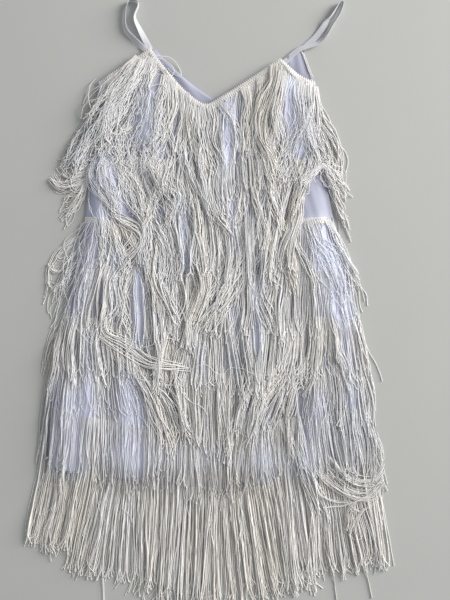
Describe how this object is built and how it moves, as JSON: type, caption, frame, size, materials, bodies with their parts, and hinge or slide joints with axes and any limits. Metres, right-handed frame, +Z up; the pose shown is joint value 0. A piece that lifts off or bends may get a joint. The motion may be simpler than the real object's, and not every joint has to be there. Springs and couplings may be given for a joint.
{
  "type": "fringed flapper dress",
  "caption": "Sleeveless fringed flapper dress laid flat on its back, with two body panels, looped shoulder straps and overlapping rows of cord fringe down to a fringed hem.",
  "frame": {"origin": "on the flat underside of the back panel, on the dress's centre line at hip height; the dress rests on Z = 0", "axes": "+X across the dress, to the right as it is seen from above with the neck away from the viewer; +Y from the hem to the neck; +Z up, out of the front of the dress"},
  "size_m": [0.4959, 0.8242, 0.0195],
  "materials": {
    "panel_cloth": "thin stretch knit, pale lilac, slight sheen",
    "strap_elastic": "woven elastic band, off-white with a lilac cast",
    "fringe_cord": "chainette cord, off-white, satin sheen"
  },
  "bodies": {
    "root": {"back_panel": "panel_cloth", "front_panel": "panel_cloth", "strap_left": "strap_elastic", "strap_right": "strap_elastic", "fringe_neckline": "fringe_cord", "fringe_tier_1": "fringe_cord", "fringe_tier_2": "fringe_cord", "fringe_tier_3": "fringe_cord", "fringe_tier_4": "fringe_cord", "fringe_tier_5": "fringe_cord", "fringe_tier_6": "fringe_cord", "fringe_hem_back": "fringe_cord", "fringe_left_upper": "fringe_cord", "fringe_left_hip": "fringe_cord", "fringe_left_thigh": "fringe_cord", "fringe_right_upper": "fringe_cord", "fringe_right_waist": "fringe_cord", "fringe_right_hip": "fringe_cord", "fringe_right_thigh": "fringe_cord", "fringe_right_hem": "fringe_cord"}
  },
  "joints": []
}
